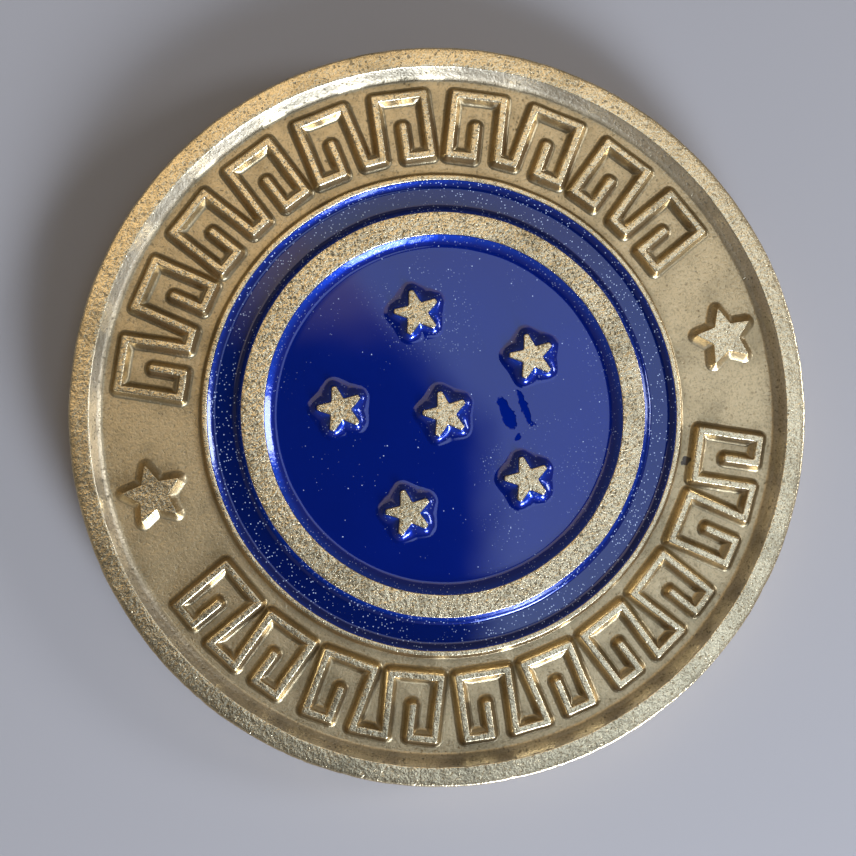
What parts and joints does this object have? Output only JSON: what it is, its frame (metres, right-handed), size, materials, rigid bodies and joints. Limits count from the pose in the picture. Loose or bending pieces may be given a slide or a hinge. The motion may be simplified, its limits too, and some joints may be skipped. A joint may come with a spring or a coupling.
{
  "type": "challenge coin",
  "caption": "Round brass challenge coin with a raised rim, a band of fret ornament, and recessed blue enamel in its face with brass stars standing in it.",
  "frame": {"origin": "centre of the plane the back rim lies on, under the middle of the coin", "axes": "+Z along the coin's axis, out of the enamelled front; +Y towards the top of the front design; +X to the right seen from the front"},
  "size_m": [0.045, 0.045, 0.0035],
  "materials": {
    "coin_body": "antique satin, fine cast grain",
    "enamel_ring": "glossy blue soft enamel",
    "enamel_center": "glossy blue soft enamel"
  },
  "bodies": {
    "root": {"coin_body": "coin_body", "enamel_ring": "enamel_ring", "enamel_center": "enamel_center"}
  },
  "joints": []
}
